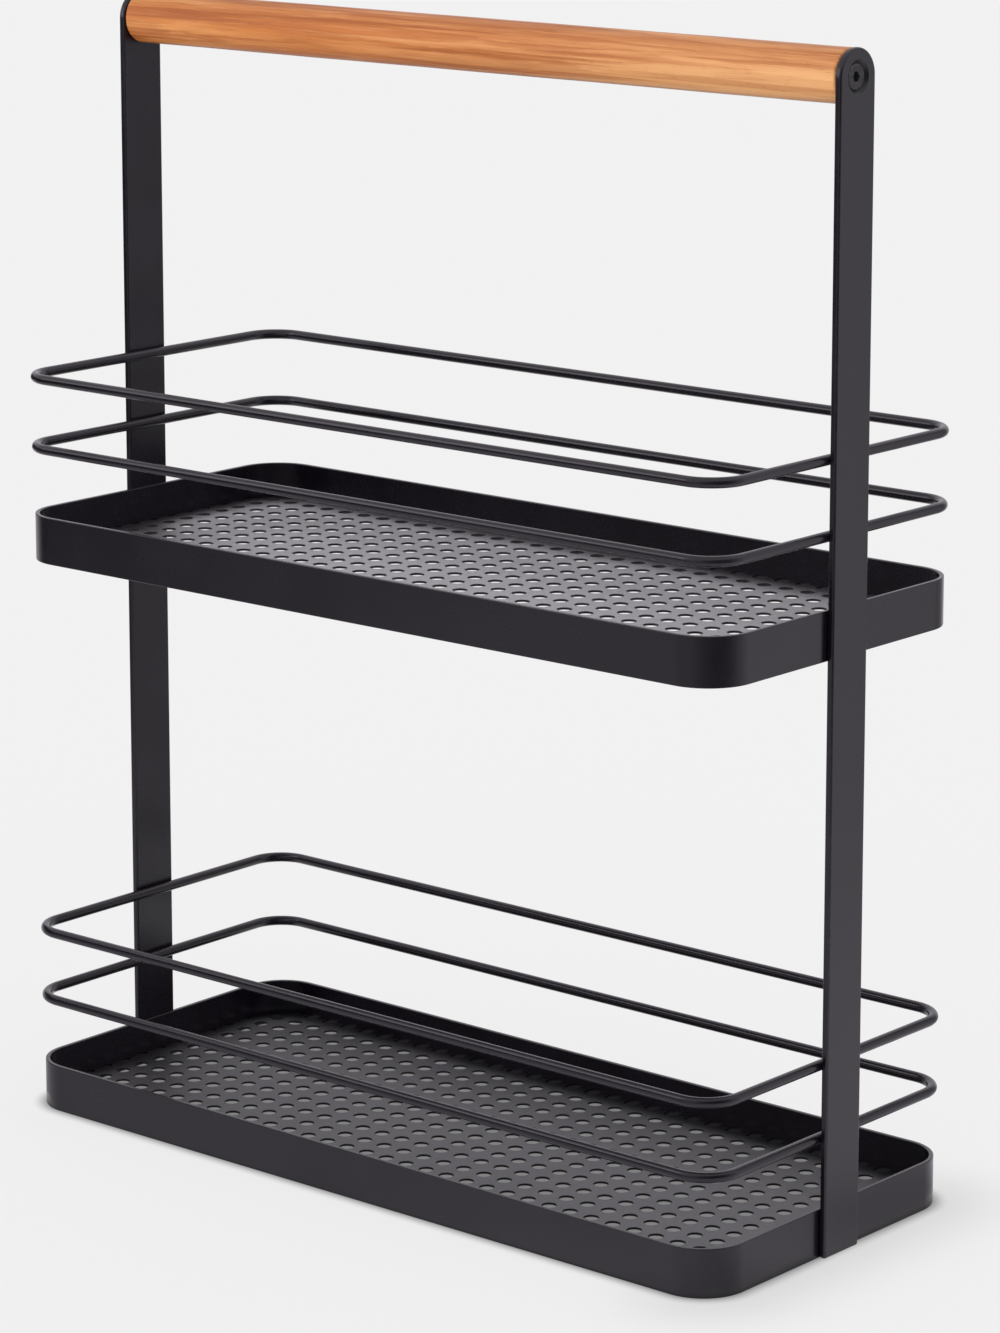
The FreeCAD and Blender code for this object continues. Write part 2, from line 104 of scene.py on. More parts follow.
def rounded_path(hx, hy, r, step, per_arc):
    """Closed counter-clockwise path round a rounded rectangle: (x, y, nx, ny) with outward normals."""
    out = []

    def line(x0, y0, x1, y1, nx, ny):
        n = max(1, round(math.hypot(x1 - x0, y1 - y0) / step))
        for i in range(n):
            f = i / n
            out.append((x0 + (x1 - x0) * f, y0 + (y1 - y0) * f, nx, ny))

    def arc(cx, cy, start):
        for i in range(per_arc):
            a = start + math.pi / 2 * i / per_arc
            out.append((cx + r * math.cos(a), cy + r * math.sin(a), math.cos(a), math.sin(a)))

    line(-hx + r, -hy, hx - r, -hy, 0, -1)
    arc(hx - r, -hy + r, -math.pi / 2)
    line(hx, -hy + r, hx, hy - r, 1, 0)
    arc(hx - r, hy - r, 0)
    line(hx - r, hy, -hx + r, hy, 0, 1)
    arc(-hx + r, hy - r, math.pi / 2)
    line(-hx, hy - r, -hx, -hy + r, -1, 0)
    arc(-hx + r, -hy + r, math.pi)
    return out


def sweep(path, section, z0):
    """Carries a section (a outwards, b up, its normal, mark) round a closed path."""
    s = Shell()
    rows = []
    for x, y, nx, ny in path:
        rows.append([s.add((x + nx * a, y + ny * a, z0 + b), (nx * na, ny * na, nb), m)
                     for a, b, na, nb, m in section])
    s.quad_rows(rows, True, True)
    return s


def box_mm(node):
    lo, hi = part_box(node)
    return [c / MM for c in lo], [c / MM for c in hi]


# ---------------------------------------------------------------------------
# Shader helpers
# ---------------------------------------------------------------------------
class Nodes:
    def __init__(self, name):
        self.mat = bpy.data.materials.new(name)
        self.mat.use_nodes = True
        self.tree = self.mat.node_tree
        self.tree.nodes.clear()
        self.out = self.tree.nodes.new("ShaderNodeOutputMaterial")
        self.bsdf = self.tree.nodes.new("ShaderNodeBsdfPrincipled")
        self.tree.links.new(self.bsdf.outputs[0], self.out.inputs["Surface"])

    def new(self, kind, **props):
        n = self.tree.nodes.new(kind)
        for k, v in props.items():
            setattr(n, k, v)
        return n

    def link(self, a, b):
        self.tree.links.new(a, b)

    def put(self, socket, value):
        if isinstance(value, bpy.types.NodeSocket):
            self.link(value, socket)
        elif value is not None:
            socket.default_value = value

    def coords(self, scale=(1, 1, 1), shift=(0, 0, 0)):
        """The piece's own coordinates in millimetres, stretched by scale."""
        tc = self.new("ShaderNodeTexCoord")
        mp = self.new("ShaderNodeMapping")
        mp.inputs["Scale"].default_value = tuple(1000.0 * s for s in scale)
        mp.inputs["Location"].default_value = shift
        self.link(tc.outputs["Object"], mp.inputs["Vector"])
        return mp.outputs[0]

    def noise(self, vector, scale, detail=2.0, rough=0.5, distortion=0.0, dims="3D"):
        n = self.new("ShaderNodeTexNoise", noise_dimensions=dims)
        n.inputs["Scale"].default_value = scale
        n.inputs["Detail"].default_value = detail
        n.inputs["Roughness"].default_value = rough
        n.inputs["Distortion"].default_value = distortion
        self.link(vector, n.inputs["Vector"])
        return n.outputs[0]

    def math(self, op, a, b=None, c=None, clamp=False):
        n = self.new("ShaderNodeMath", operation=op, use_clamp=clamp)
        for i, v in enumerate((a, b, c)):
            self.put(n.inputs[i], v)
        return n.outputs[0]

    def remap(self, value, a0, a1, b0, b1, smooth=False):
        n = self.new("ShaderNodeMapRange", interpolation_type="SMOOTHSTEP" if smooth else "LINEAR")
        self.put(n.inputs["Value"], value)
        for k, v in (("From Min", a0), ("From Max", a1), ("To Min", b0), ("To Max", b1)):
            n.inputs[k].default_value = v
        return n.outputs["Result"]

    def mix(self, factor, a, b, blend="MIX"):
        n = self.new("ShaderNodeMix", data_type="RGBA", blend_type=blend)
        self.put(n.inputs[0], factor)
        self.put(n.inputs[6], a if isinstance(a, bpy.types.NodeSocket) else (*a, 1.0))
        self.put(n.inputs[7], b if isinstance(b, bpy.types.NodeSocket) else (*b, 1.0))
        return n.outputs[2]

    def ramp(self, value, stops):
        n = self.new("ShaderNodeValToRGB")
        e = n.color_ramp.elements
        while len(e) > 1:
            e.remove(e[0])
        e[0].position, e[0].color = stops[0][0], (*stops[0][1], 1.0)
        for pos, col in stops[1:]:
            k = e.new(pos)
            k.color = (*col, 1.0)
        self.put(n.inputs[0], value)
        return n.outputs["Color"]

    def bump(self, height, distance_mm, strength=1.0, normal=None):
        n = self.new("ShaderNodeBump")
        n.inputs["Strength"].default_value = strength
        n.inputs["Distance"].default_value = distance_mm * MM
        self.link(height, n.inputs["Height"])
        if normal is not None:
            self.link(normal, n.inputs["Normal"])
        return n.outputs[0]

    def edge(self):
        n = self.new("ShaderNodeAttribute", attribute_name="edge")
        return n.outputs["Fac"]


def powder_coat(name, base, rough, peel=0.008, grain=0.003, peel_scale=0.55, wear=0.30):
    """Satin powder coat: orange peel, fine grain, faint cloudiness, edges where the coat is thin, and painted shade
    in recesses.
    """
    n = Nodes(name)
    p = n.coords()
    cloud = n.noise(p, 0.035, 3.0, 0.55)
    fine = n.noise(p, 2.6, 2.0, 0.6)
    speck = n.noise(p, 7.0, 1.0, 0.5)
    worn = n.noise(p, 0.42, 4.0, 0.65)
    deep = tuple(c * 0.80 for c in base)
    light = tuple(c * 1.28 for c in base)
    colour = n.mix(n.remap(cloud, 0.35, 0.65, 0.0, 1.0, True), deep, light)
    colour = n.mix(n.remap(speck, 0.60, 0.74, 0.0, 0.35, True), colour, tuple(c * 2.1 for c in base))
    rub = n.math("MULTIPLY", n.edge(), n.remap(worn, 0.42, 0.68, 0.10, 1.0, True))
    rub = n.math("MULTIPLY", rub, wear, clamp=True)
    colour = n.mix(rub, colour, tuple(min(1.0, c * 3.4 + 0.010) for c in base))
    # painted shade: points marked below zero (countersink cones, hole walls) are painted near black and made rougher
    painted_recess_shade = n.math("MULTIPLY", n.edge(), -1.0, clamp=True)
    colour = n.mix(n.math("MULTIPLY", painted_recess_shade, 0.8), colour, (0.001, 0.001, 0.001))
    n.put(n.bsdf.inputs["Base Color"], colour)
    r = n.remap(cloud, 0.30, 0.70, rough - 0.035, rough + 0.035)
    r = n.math("ADD", r, n.math("MULTIPLY", painted_recess_shade, 0.25))
    r = n.math("ADD", r, n.remap(fine, 0.35, 0.65, -0.02, 0.02))
    r = n.math("SUBTRACT", r, n.math("MULTIPLY", rub, 0.08), clamp=True)
    n.put(n.bsdf.inputs["Roughness"], r)
    n.bsdf.inputs["IOR"].default_value = 1.50
    peel_h = n.noise(p, peel_scale, 1.5, 0.45)
    b = n.bump(peel_h, peel)
    b = n.bump(fine, grain, 1.0, b)
    n.put(n.bsdf.inputs["Normal"], b)
    return n.mat


def wood():
    """Straight-grained hardwood turned to a dowel: growth rings cut along their length, streaks, mottle and pores."""
    n = Nodes("handle_wood")
    p = n.coords()
    sep = n.new("ShaderNodeSeparateXYZ")
    n.link(p, sep.inputs[0])
    x, y, z = sep.outputs
    bend = n.noise(n.coords((0.010, 0.05, 0.05)), 1.0, 2.0, 0.5)
    bend2 = n.noise(n.coords((0.035, 0.22, 0.22)), 1.0, 3.0, 0.6)
    # distance from the pith, which runs beside the dowel and leans away from it
    yy = n.math("ADD", y, n.math("MULTIPLY_ADD", x, 0.022, 21.0))
    zz = n.math("SUBTRACT", z, n.math("MULTIPLY_ADD", x, -0.012, HANDLE_Z - 13.0))
    r = n.math("SQRT", n.math("ADD", n.math("MULTIPLY", yy, yy), n.math("MULTIPLY", zz, zz)))
    r = n.math("ADD", r, n.math("MULTIPLY", bend, 7.0))
    r = n.math("ADD", r, n.math("MULTIPLY", bend2, 3.4))
    ring = n.math("FRACT", n.math("MULTIPLY", r, 0.26))
    late = n.ramp(ring, [(0.0, (0.0,) * 3), (0.45, (0.20,) * 3), (0.80, (0.85,) * 3), (0.90, (1.0,) * 3), (1.0, (0.0,) * 3)])
    broad = n.noise(n.coords((0.006, 0.10, 0.10), (3.1, 0, 0)), 1.0, 2.0, 0.5)
    streak = n.noise(n.coords((0.011, 0.48, 0.48)), 1.0, 4.0, 0.58)
    mottle = n.noise(n.coords((0.028, 0.42, 0.42), (0, 5.0, 0)), 1.0, 3.0, 0.52, 0.10)
    hair = n.noise(n.coords((0.055, 3.2, 3.2)), 1.0, 3.0, 0.6)
    base = n.mix(n.remap(broad, 0.36, 0.64, 0.0, 1.0, True), (0.520, 0.158, 0.028), (0.695, 0.266, 0.074))
    # painted light: the wood is painted paler towards the +X end, most of all on its lower front side
    low = n.math("SUBTRACT", n.math("MULTIPLY_ADD", y, -0.45, HANDLE_Z), z)
    painted_light_pale = n.math("MULTIPLY", n.remap(x, -70.0, 150.0, 0.0, 1.0, True), n.remap(low, -5.0, 7.0, 0.30, 1.0, True))
    base = n.mix(painted_light_pale, base, (0.800, 0.418, 0.176))
    calm = n.remap(painted_light_pale, 0.15, 0.85, 1.0, 0.42, True)

    def over(amount, colour):
        return n.mix(n.math("MULTIPLY", amount, calm, clamp=True), base, colour)

    base = over(n.math("MULTIPLY", late, 0.50), (0.385, 0.102, 0.017))
    base = over(n.remap(streak, 0.48, 0.64, 0.0, 1.0, True), (0.375, 0.100, 0.018))
    base = over(n.remap(streak, 0.30, 0.44, 0.42, 0.0, True), (0.790, 0.385, 0.150))
    base = over(n.remap(mottle, 0.54, 0.72, 0.0, 0.55, True), (0.450, 0.132, 0.027))
    base = over(n.remap(mottle, 0.28, 0.46, 0.34, 0.0, True), (0.780, 0.370, 0.138))
    base = over(n.remap(hair, 0.54, 0.70, 0.0, 0.45, True), (0.290, 0.080, 0.017))
    base = over(n.remap(hair, 0.28, 0.42, 0.25, 0.0, True), (0.820, 0.450, 0.200))
    # painted shade: the underside is painted dark brown
    base = n.mix(n.remap(n.math("MULTIPLY_ADD", y, -0.10, z), HANDLE_Z - 8.7, HANDLE_Z - 7.0, 0.80, 0.0, True), base, (0.215, 0.078, 0.028))
    # pores: short dark lines along the grain
    v = n.new("ShaderNodeTexVoronoi", feature="F1")
    v.inputs["Scale"].default_value = 1.0
    v.inputs["Randomness"].default_value = 1.0
    n.link(n.coords((0.16, 1.9, 1.9)), v.inputs["Vector"])
    pore = n.remap(v.outputs["Distance"], 0.10, 0.20, 1.0, 0.0, True)
    pore = n.math("MULTIPLY", pore, n.remap(streak, 0.38, 0.60, 0.15, 1.0, True))
    base = n.mix(n.math("MULTIPLY", pore, 0.50), base, (0.215, 0.066, 0.016))
    n.put(n.bsdf.inputs["Base Color"], base)
    rough = n.math("ADD", n.remap(streak, 0.3, 0.7, 0.42, 0.54), n.math("MULTIPLY", pore, 0.14))
    n.put(n.bsdf.inputs["Roughness"], rough)
    n.bsdf.inputs["IOR"].default_value = 1.42
    h = n.math("SUBTRACT", n.math("MULTIPLY", hair, 0.5), pore)
    b = n.bump(h, 0.030)
    b = n.bump(streak, 0.05, 0.6, b)
    n.put(n.bsdf.inputs["Normal"], b)
    return n.mat


def screw_black():
    n = Nodes("screw_black")
    p = n.coords()
    fine = n.noise(p, 5.0, 2.0, 0.6)
    cloud = n.noise(p, 0.7, 3.0, 0.6)
    colour = n.mix(n.remap(cloud, 0.35, 0.65, 0.0, 1.0, True), (0.030, 0.029, 0.031), (0.052, 0.049, 0.052))
    rub = n.math("MULTIPLY", n.edge(), n.remap(cloud, 0.35, 0.60, 0.3, 1.0, True), clamp=True)
    colour = n.mix(n.math("MULTIPLY", rub, 0.45), colour, (0.16, 0.155, 0.15))
    n.put(n.bsdf.inputs["Base Color"], colour)
    n.bsdf.inputs["Metallic"].default_value = 0.55
    n.put(n.bsdf.inputs["Roughness"], n.remap(fine, 0.3, 0.7, 0.34, 0.46))
    n.put(n.bsdf.inputs["Normal"], n.bump(fine, 0.006))
    return n.mat


def brass():
    n = Nodes("insert_brass")
    p = n.coords()
    fine = n.noise(n.coords((3.0, 0.3, 0.3)), 1.0, 3.0, 0.6)
    cloud = n.noise(p, 0.5, 3.0, 0.6)
    n.put(n.bsdf.inputs["Base Color"], n.mix(n.remap(cloud, 0.35, 0.65, 0.0, 1.0), (0.62, 0.43, 0.17), (0.74, 0.56, 0.26)))
    n.bsdf.inputs["Metallic"].default_value = 1.0
    n.put(n.bsdf.inputs["Roughness"], n.remap(fine, 0.3, 0.7, 0.24, 0.40))
    n.put(n.bsdf.inputs["Normal"], n.bump(fine, 0.010))
    return n.mat


# ---------------------------------------------------------------------------
# Sizes read from the frame
# ---------------------------------------------------------------------------
d_lo, d_hi = box_mm("handle_dowel")
HANDLE_Z = (d_lo[2] + d_hi[2]) / 2
HANDLE_R = (d_hi[2] - d_lo[2]) / 2

COAT = powder_coat("black_coat", (0.0068, 0.0044, 0.0090), 0.26)
WIRE_COAT = powder_coat("wire_coat", (0.0070, 0.0046, 0.0092), 0.24, peel=0.007, grain=0.003, peel_scale=0.7)
SHEET_COAT = powder_coat("sheet_coat", (0.0090, 0.0062, 0.0115), 0.50, peel=0.004, grain=0.003, peel_scale=0.8, wear=0.3)
WOOD = wood()
SCREW = screw_black()
BRASS = brass()


# ---------------------------------------------------------------------------
# Tray bands
# ---------------------------------------------------------------------------
def band(node):
    lo, hi = box_mm(node)
    t, r, f = 1.5, 16.0, 0.32
    h = hi[2] - lo[2]
    section = []

    def corner(ca, cb, start):
        for i in range(6):
            a = start + math.pi / 2 * i / 5
            section.append((ca + f * math.cos(a), cb + f * math.sin(a), math.cos(a), math.sin(a),
                            math.sin(math.pi * i / 5)))

    corner(-f, f, -math.pi / 2)
    corner(-f, h - f, 0)
    corner(-t + f, h - f, math.pi / 2)
    corner(-t + f, f, math.pi)
    path = rounded_path(hi[0], hi[1], r, 12.0, 24)
    sweep(path, section, lo[2]).make(node + "_band", node, "frame", "black_coat", COAT)


band("lower_tray_rim")
band("upper_tray_rim")


# ---------------------------------------------------------------------------
# Wire guards
# ---------------------------------------------------------------------------
def guard(node):
    lo, hi = box_mm(node)
    r = (hi[2] - lo[2]) / 2
    n = 28
    section = [(r * math.cos(2 * math.pi * i / n), r * math.sin(2 * math.pi * i / n),
                math.cos(2 * math.pi * i / n), math.sin(2 * math.pi * i / n), 0.0) for i in range(n)]
    path = rounded_path(hi[0] - r, hi[1] - r, 12.0, 12.0, 20)
    sweep(path, section, lo[2] + r).make(node + "_wire", node, "frame", "black_coat", WIRE_COAT)


for name in ("lower_guard_bottom", "lower_guard_top", "upper_guard_bottom", "upper_guard_top"):
    guard(name)


# ---------------------------------------------------------------------------
# Perforated tray floors. Every whole hole sits in a square cell; the margin
# with the holes that the edge cuts through is filled between the cells and
# the outline.
# ---------------------------------------------------------------------------
PITCH, HOLE_R, LIP = 8.8, 2.5, 0.11
COLS, ROWS = 33, 13
SEG = 24


def perforated(node):
    lo, hi = box_mm(node)
    z0, z1 = lo[2], hi[2]
    hx, hy, rc = hi[0], hi[1], 14.8
    # levels from the top face to the bottom face: (radius, z, radial normal, z normal, mark); the hole wall's mark
    # below zero paints shade on it
    levels = []
    for i in range(3):
        a = math.pi / 2 * i / 2
        levels.append((HOLE_R + LIP - LIP * math.sin(a), z1 - LIP + LIP * math.cos(a),
                       -math.sin(a), math.cos(a), (0.0, 0.5, -0.8)[i]))
    for i in range(2):
        a = math.pi / 2 * (1 - i)
        levels.append((HOLE_R + LIP - LIP * math.sin(a), z0 + LIP - LIP * math.cos(a),
                       -math.sin(a), -math.cos(a), (-0.8, 0.0)[i]))
    last = len(levels) - 1
    s = Shell()
    grid = {}

    def flat(x, y):
        """The pair of points on the top and bottom faces at a place that cells share."""
        key = (round(x, 3), round(y, 3))
        if key not in grid:
            grid[key] = (s.add((x, y, z1), (0, 0, 1)), s.add((x, y, z0), (0, 0, -1)))
        return grid[key]

    spin = [(math.cos(2 * math.pi * k / SEG), math.sin(2 * math.pi * k / SEG)) for k in range(SEG)]
    loops = []       # contours that bound the margin: lists of (top index, bottom index)
    open_edges = {}

    def hole(cx, cy):
        rings = [[s.add((cx + c * r, cy + q * r, z), (c * nr, q * nr, nz), m) for c, q in spin]
                 for r, z, nr, nz, m in levels]
        s.quad_rows(list(map(list, zip(*rings))), closed_along=True)
        return rings

    for i in range(COLS):
        for j in range(ROWS):
            cx, cy = (i - (COLS - 1) / 2) * PITCH, (j - (ROWS - 1) / 2) * PITCH
            rings = hole(cx, cy)
            if i in (0, COLS - 1) and j in (0, ROWS - 1):
                loops.append([(rings[0][k], rings[last][k]) for k in range(SEG)])
                continue
            rim = []
            for c, q in spin:
                f = PITCH / 2 / max(abs(c), abs(q))
                rim.append(flat(cx + c * f, cy + q * f))
            for k in range(SEG):
                n = (k + 1) % SEG
                s.faces.append((rim[k][0], rim[n][0], rings[0][n], rings[0][k]))
                s.faces.append((rings[last][k], rings[last][n], rim[n][1], rim[k][1]))
                key = frozenset((rim[k], rim[n]))
                if key in open_edges:
                    del open_edges[key]
                else:
                    open_edges[key] = (rim[k], rim[n])

    # outline, counter-clockwise, as columns of points from top to bottom
    columns = []

    def plain(x, y, nx, ny):
        columns.append([s.add((x, y, z), (nx, ny, 0.0)) for _, z, _, _, _ in levels])

    def into_corner(r, u, v, length):
        """Angle below the side at which a hole's circle meets the rounded corner beyond it."""
        lo_a, hi_a = 0.0, math.pi / 2
        for _ in range(40):
            a = (lo_a + hi_a) / 2
            du, dv = abs(u) + r * math.cos(a) - length, v + r * math.sin(a) - (v_side(v) - rc)
            if math.hypot(du, dv) < rc:
                lo_a = a
            else:
                hi_a = a
        return lo_a

    def v_side(v):
        return hy if abs(v - hy) < abs(v - hx) else hx

    def bite(cx, cy, turn, inset, ends):
        """A hole that the outline cuts through; turn is the side's direction of travel."""
        steps = 16
        cols = [[] for _ in range(steps + 1)]
        for r, z, nr, nz, m in levels:
            dip = math.asin(inset / r)
            d0 = dip if ends[0] is None else ends[0](r)
            d1 = dip if ends[1] is None else ends[1](r)
            for k in range(steps + 1):
                a = (math.pi + d0) - (math.pi + d0 + d1) * k / steps + turn * math.pi / 2
                c, q = math.cos(a), math.sin(a)
                cols[k].append(s.add((cx + r * c, cy + r * q, z), (c * nr, q * nr, nz), m))
        columns.extend(cols)

    def side(length, turn):
        """One straight side, from its start to its end, with the holes that it cuts."""
        ca, sa = math.cos(turn * math.pi / 2), math.sin(turn * math.pi / 2)
        off = hy if turn in (0, 2) else hx
        count = (COLS - 2) if turn in (0, 2) else (ROWS - 2)
        centre = (ROWS + 1) / 2 * PITCH if turn in (0, 2) else (COLS + 1) / 2 * PITCH

        def put(u, v):
            return u * ca + v * sa, u * sa - v * ca
        nx, ny = put(0, 1)
        inset = off - centre
        reach = (count - 1) / 2 * PITCH + math.sqrt((HOLE_R + LIP) ** 2 - inset ** 2)
        clear = reach < length
        if clear:
            x, y = put(-length, off)
            plain(x, y, nx, ny)
        for k in range(count):
            u = (k - (count - 1) / 2) * PITCH
            x, y = put(u, centre)

            def meet(r, u=u):
                return into_corner(r, u, centre, length)
            bite(x, y, turn, inset, (meet if k == 0 and not clear else None,
                                     meet if k == count - 1 and not clear else None))
        if clear:
            x, y = put(length, off)
            plain(x, y, nx, ny)

    def arc(cx, cy, start):
        for i in range(1, 16):
            a = start + math.pi / 2 * i / 16
            plain(cx + rc * math.cos(a), cy + rc * math.sin(a), math.cos(a), math.sin(a))

    side(hx - rc, 0)
    arc(hx - rc, -hy + rc, -math.pi / 2)
    side(hy - rc, 1)
    arc(hx - rc, hy - rc, 0)
    side(hx - rc, 2)
    arc(-hx + rc, hy - rc, math.pi / 2)
    side(hy - rc, 3)
    arc(-hx + rc, -hy + rc, math.pi)
    n = len(columns)
    for i in range(n):
        a, b = columns[i], columns[(i + 1) % n]
        for j in range(last):
            s.faces.append((a[j], a[j + 1], b[j + 1], b[j]))
    loops.append([(c[0], c[last]) for c in columns])

    # triangles between the outline, the corner holes and the block of cells
    pairs, edges = [], []
    seen = {}

    def index(pair):
        if pair not in seen:
            seen[pair] = len(pairs)
            pairs.append(pair)
        return seen[pair]

    for loop in loops:
        k = [index(p) for p in loop]
        edges += [(k[i], k[(i + 1) % len(k)]) for i in range(len(k))]
    for a, b in open_edges.values():
        edges.append((index(a), index(b)))
    flat2 = [Vector(s.co[p[0]][:2]) for p in pairs]
    _, _, tris, back, _, _ = geometry.delaunay_2d_cdt(flat2, edges, [], 0, 1e-5)
    segs = [(flat2[a], flat2[b]) for a, b in edges]

    def inside(x, y):
        odd = False
        for a, b in segs:
            if (a.y > y) != (b.y > y) and x < a.x + (y - a.y) * (b.x - a.x) / (b.y - a.y):
                odd = not odd
        return odd

    for tri in tris:
        k = [back[v][0] for v in tri]
        cx = sum(flat2[v].x for v in k) / 3
        cy = sum(flat2[v].y for v in k) / 3
        if abs(cx) < (COLS / 2 - 1) * PITCH and abs(cy) < (ROWS / 2 - 1) * PITCH:
            continue
        if inside(cx, cy):
            s.faces.append(tuple(pairs[v][0] for v in k))
            s.faces.append(tuple(pairs[v][1] for v in reversed(k)))
    s.make(node + "_sheet", node, "frame", "sheet_coat", SHEET_COAT)


perforated("lower_tray_floor")
perforated("upper_tray_floor")


# ---------------------------------------------------------------------------
# Uprights
# ---------------------------------------------------------------------------
def upright():
    """The right-hand bar: inner face at x0, outer face at x1."""
    lo, hi = box_mm("right_upright")
    x0, x1, w = lo[0], hi[0], hi[1]
    f, rc, seg = 0.80, 0.9, 64
    h = hi[2] - w
    outline = []         # (y, z, ny, nz), counter-clockwise seen from +X

    def foot(cy, start):
        for i in range(5):
            a = start + math.pi / 2 * i / 4
            outline.append((cy + rc * math.cos(a), rc + rc * math.sin(a), math.cos(a), math.sin(a)))

    rows = 30
    low = [rc + (h - w - rc) * i / rows for i in range(1, rows)]
    near = [h - w * math.tan(math.pi / 4 * (1 - i / (seg / 8))) for i in range(int(seg / 8))]
    n_bottom = int(seg / 4)
    for i in range(1, n_bottom):
        outline.append((-w + rc + (2 * w - 2 * rc) * i / n_bottom, 0.0, 0.0, -1.0))
    foot(w - rc, -math.pi / 2)
    right_low = len(outline)
    for z in low:
        outline.append((w, z, 1.0, 0.0))
    right_near = len(outline)
    for z in near:
        outline.append((w, z, 1.0, 0.0))
    top = len(outline)
    for i in range(int(seg / 2) + 1):
        a = 2 * math.pi * i / seg
        outline.append((w * math.cos(a), h + w * math.sin(a), math.cos(a), math.sin(a)))
    for z in reversed(near):
        outline.append((-w, z, -1.0, 0.0))
    left_low = len(outline)
    for z in reversed(low):
        outline.append((-w, z, -1.0, 0.0))
    foot(-w + rc, math.pi)
    m = len(outline)

    profile = []         # (inset, x, outward share, x share, mark), from the outer face to the inner
    for i in range(6):
        a = math.pi / 2 * i / 5
        profile.append((f - f * math.sin(a), x1 - f + f * math.cos(a), math.sin(a), math.cos(a), math.sin(math.pi * i / 5)))
    for i in range(6):
        a = math.pi / 2 * (1 - i / 5)
        profile.append((f - f * math.sin(a), x0 + f - f * math.cos(a), math.sin(a), -math.cos(a), math.sin(math.pi * i / 5)))
    s = Shell()
    cols = []
    for y, z, ny, nz in outline:
        cols.append([s.add((x, y - ny * inset, z - nz * inset), (sx, ny * so, nz * so), mk)
                     for inset, x, so, sx, mk in profile])
    for i in range(m):
        a, b = cols[i], cols[(i + 1) % m]
        for j in range(len(profile) - 1):
            s.faces.append((a[j], a[j + 1], b[j + 1], b[j]))

    # hole and countersink: (radius, x, radial normal, x normal, mark) from the outer face inwards; marks below zero
    # paint shade in the countersink
    rs, rh, e = 5.25, 3.0, 0.14
    q = math.sqrt(0.5)
    bore = [(rs + e * 0.55, x1, 0.0, 1.0, 0.0), (rs + e * 0.15, x1 - e * 0.12, -math.sin(math.pi / 8), math.cos(math.pi / 8), -0.7),
            (rs - e * 0.35, x1 - e * 0.42, -q, q, -0.4)]
    for k in range(1, 4):
        r = (rs - e * 0.35) + (rh - (rs - e * 0.35)) * k / 3
        bore.append((r, x1 - (rs - r), -q, q, -1.0))
    bore.append((rh, x0 + 0.06, -1.0, 0.0, 0.0))
    bore.append((rh + 0.06, x0, 0.0, -1.0, 0.0))
    rings = []
    for r, x, nr, nx, mk in bore:
        rings.append([s.add((x, r * math.cos(2 * math.pi * k / seg), h + r * math.sin(2 * math.pi * k / seg)),
                            (nx, nr * math.cos(2 * math.pi * k / seg), nr * math.sin(2 * math.pi * k / seg)), mk)
                      for k in range(seg)])
    for a, b in zip(rings, rings[1:]):
        for k in range(seg):
            n = (k + 1) % seg
            s.faces.append((a[k], a[n], b[n], b[k]))

    def cap(level, ring, x, nx):
        """Flat face between the outline and the hole."""
        faces = []
        edge = [c[level] for c in cols]
        wi = w - f
        around = [None] * seg
        for k in range(int(seg / 2) + 1):
            around[k] = edge[top + k]
        for i in range(int(seg / 8)):
            around[(seg - int(seg / 8) + i) % seg] = edge[right_near + i]
            around[int(seg / 2) + int(seg / 8) - i] = edge[left_low - 1 - i]
        floor_line = []
        for k in range(int(seg * 5 / 8), int(seg * 7 / 8) + 1):
            if around[k] is None:
                a = 2 * math.pi * k / seg - 1.5 * math.pi
                around[k] = s.add((x, wi * math.tan(a), h - w), (nx, 0, 0))
            floor_line.append(around[k])
        for k in range(seg):
            n = (k + 1) % seg
            faces.append((around[k], around[n], ring[n], ring[k]))
        above = floor_line
        ys = [s.co[v][1] for v in floor_line]
        for i in range(len(low) - 1, -1, -1):
            z = low[i]
            row = [edge[left_low + (len(low) - 1 - i)]]
            row += [s.add((x, y, z), (nx, 0, 0)) for y in ys[1:-1]]
            row.append(edge[right_low + i])
            for j in range(len(row) - 1):
                faces.append((row[j], row[j + 1], above[j + 1], above[j]))
            above = row
        # the last strip down to the foot: one face with the foot's outline
        start = left_low + len(low)
        ngon = list(reversed(above))
        k = start
        while True:
            ngon.append(edge[k % m])
            k += 1
            if k % m == right_low:
                break
        faces.append(tuple(ngon))
        for face in faces:
            s.faces.append(face if nx > 0 else tuple(reversed(face)))

    cap(0, rings[0], x1, 1.0)
    cap(len(profile) - 1, rings[-1], x0, -1.0)
    return s


bar = upright()
bar.make("right_upright_bar", "right_upright", "frame", "black_coat", COAT)
bar.mirrored(0).make("left_upright_bar", "left_upright", "frame", "black_coat", COAT)


